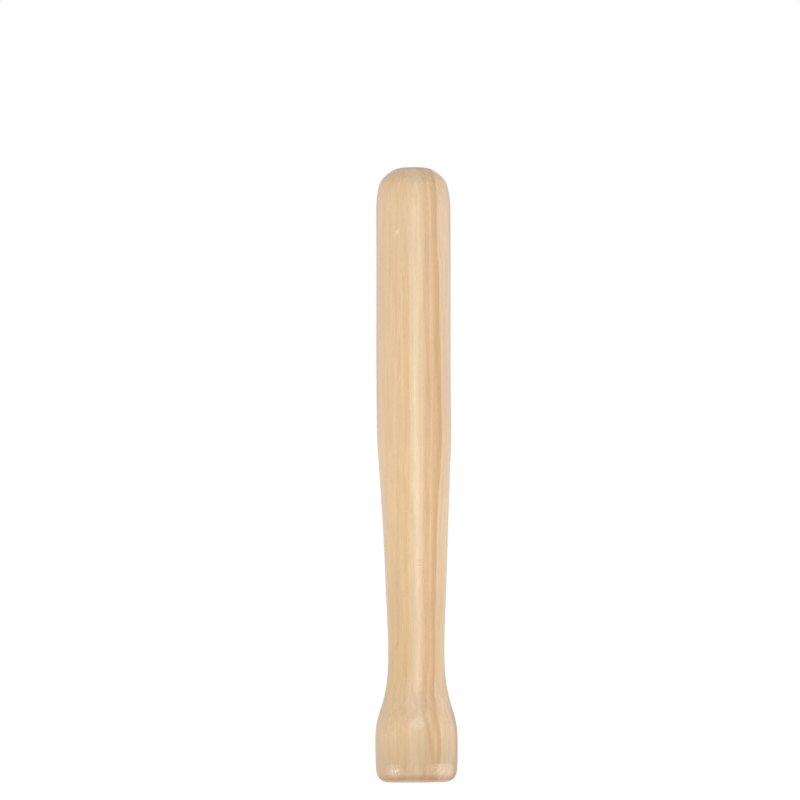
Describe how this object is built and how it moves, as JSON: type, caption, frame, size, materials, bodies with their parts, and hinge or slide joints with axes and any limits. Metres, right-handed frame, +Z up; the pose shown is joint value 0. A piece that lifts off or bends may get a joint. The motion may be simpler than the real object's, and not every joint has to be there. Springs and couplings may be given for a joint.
{
  "type": "muddler",
  "caption": "Turned hardwood bar muddler with a bulbous flat-faced mashing foot, slim neck, swelling waist, straight grip and domed end.",
  "frame": {"origin": "centre of the flat mashing face at the bottom of the foot", "axes": "+Z up the turning axis, from the mashing face to the domed end of the grip; X and Y are square to it, and the growth rings are stacked along X"},
  "size_m": [0.0314, 0.0314, 0.235],
  "materials": {
    "lacquered_wood": "satin clear lacquer over a pale, close-grained turned hardwood"
  },
  "bodies": {
    "root": {"turned_body": "lacquered_wood"}
  },
  "joints": []
}
